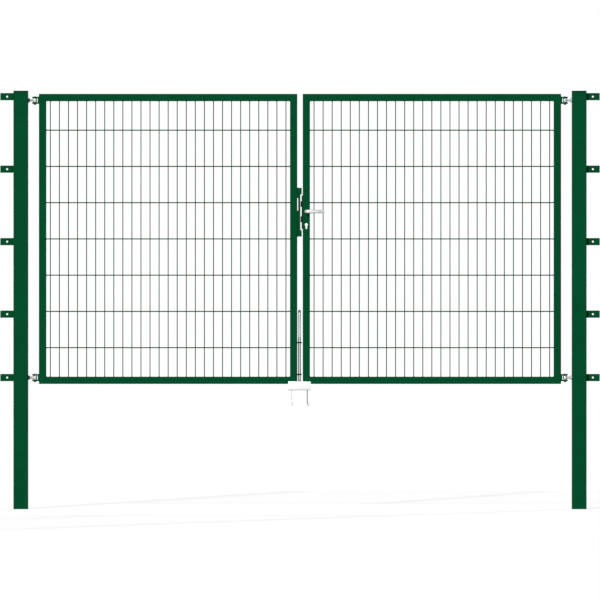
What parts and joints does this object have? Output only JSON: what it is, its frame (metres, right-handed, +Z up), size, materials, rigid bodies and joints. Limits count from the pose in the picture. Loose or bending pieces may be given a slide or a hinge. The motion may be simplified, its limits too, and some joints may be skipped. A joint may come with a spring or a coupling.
{
  "type": "double mesh fence gate",
  "caption": "Double swing gate of welded tube frames filled with double-wire mesh, hung on tall square posts, with lever lock, drop bolt and ground stop.",
  "frame": {"origin": "centre of the left post's foot", "axes": "+X along the gate to the right post, -Y to the front, +Z up"},
  "size_m": [3.308, 0.136, 2.307],
  "materials": {
    "green_coat": "satin",
    "cap_plastic": "matte",
    "zinc": "satin",
    "dark_steel": "satin",
    "lever_aluminium": "satin"
  },
  "bodies": {
    "root": {"left_post": "green_coat", "right_post": "green_coat", "left_post_cap": "cap_plastic", "right_post_cap": "cap_plastic", "left_fence_tabs": "green_coat", "right_fence_tabs": "green_coat", "left_eye_bolts": "zinc", "right_eye_bolts": "zinc", "left_hinge_nuts": "zinc", "right_hinge_nuts": "zinc", "ground_stop_plate": "zinc", "ground_stop_anchors": "zinc"},
    "left_leaf": {"left_hinge_stile": "green_coat", "left_meeting_stile": "green_coat", "left_top_rail": "green_coat", "left_bottom_rail": "green_coat", "left_mesh_panel": "green_coat", "left_hinge_brackets": "green_coat", "left_hinge_pins": "zinc", "left_pin_nuts": "zinc", "lock_keep": "green_coat", "upper_bolt_guide": "dark_steel", "lower_bolt_guide": "dark_steel"},
    "drop_bolt": {"drop_bolt": "zinc"},
    "right_leaf": {"right_hinge_stile": "green_coat", "right_meeting_stile": "green_coat", "right_top_rail": "green_coat", "right_bottom_rail": "green_coat", "right_mesh_panel": "green_coat", "right_hinge_brackets": "green_coat", "right_hinge_pins": "zinc", "right_pin_nuts": "zinc", "lock_case": "dark_steel", "lock_forend": "dark_steel", "deadbolt": "dark_steel", "lock_screws": "dark_steel"},
    "latch": {"latch_bolt": "dark_steel"},
    "handle": {"spindle": "dark_steel", "front_lever": "lever_aluminium", "rear_lever": "lever_aluminium"}
  },
  "joints": [
    {"name": "left_leaf_swing", "type": "hinge", "parent": "root", "child": "left_leaf", "pos_m": [0.078, 0, 0.725], "axis": [0, 0, 1], "range_deg": [0, 100]},
    {"name": "right_leaf_swing", "type": "hinge", "parent": "root", "child": "right_leaf", "pos_m": [3.002, 0, 0.725], "axis": [0, 0, -1], "range_deg": [0, 100]},
    {"name": "drop_bolt_lift", "type": "slide", "parent": "left_leaf", "child": "drop_bolt", "axis": [0, 0, 1], "range_m": [-0.033, 0.055]},
    {"name": "handle_turn", "type": "hinge", "parent": "right_leaf", "child": "handle", "pos_m": [1.575, 0, 1.641], "axis": [0, 1, 0], "range_deg": [0, 40], "stiffness_Nm_per_rad": 0.6, "springref_deg": -28.65},
    {"name": "latch_slide", "type": "slide", "parent": "right_leaf", "child": "latch", "axis": [1, 0, 0], "range_m": [0, 0.0053]}
  ],
  "couplings": [
    {"joint": "latch_slide", "follows": "handle_turn", "m_per_rad": 0.0075}
  ]
}
